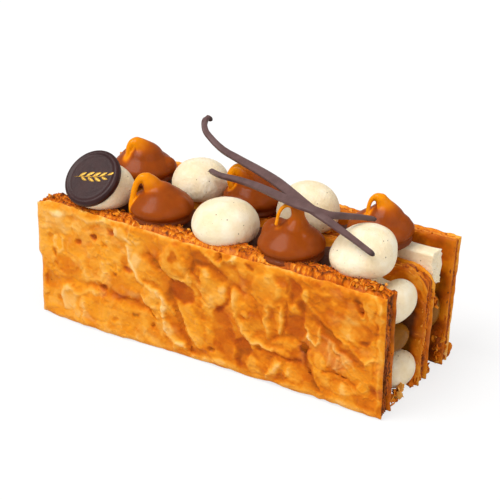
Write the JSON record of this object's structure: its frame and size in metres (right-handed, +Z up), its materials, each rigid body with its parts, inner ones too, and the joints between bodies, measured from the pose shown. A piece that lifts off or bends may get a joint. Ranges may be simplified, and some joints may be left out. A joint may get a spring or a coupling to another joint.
{
  "type": "mille feuille slice",
  "caption": "Slice of layered puff pastry on its side, with piped cream and caramel between upright sheets, piped kisses on top, a chocolate disc and crossed chocolate pods.",
  "frame": {"origin": "centre of the footprint box, on the surface the slice stands on", "axes": "+X along the length of the slice, +Y from the front pastry sheet to the back one, +Z up"},
  "size_m": [0.1212, 0.0488, 0.0633],
  "materials": {
    "pastry": "caramelised puff pastry, satin skin, dry flaky cuts",
    "cream": "soft matte vanilla cream",
    "caramel": "soft gloss caramel",
    "chocolate": "dark chocolate, satin"
  },
  "bodies": {
    "root": {"caramel_kiss_1": "caramel", "caramel_kiss_2": "caramel", "caramel_kiss_3": "caramel", "caramel_kiss_4": "caramel", "caramel_kiss_5": "caramel", "caramel_row_back": "caramel", "caramel_row_front": "caramel", "chocolate_medallion": "chocolate", "chocolate_pods": "chocolate", "cream_kiss_1": "cream", "cream_kiss_2": "cream", "cream_kiss_3": "cream", "cream_kiss_4": "cream", "cream_kiss_5": "cream", "cream_row_back_bottom": "cream", "cream_row_back_top": "cream", "cream_row_front_bottom": "cream", "cream_row_front_top": "cream", "pastry_back": "pastry", "pastry_front": "pastry", "pastry_middle": "pastry"}
  },
  "joints": []
}
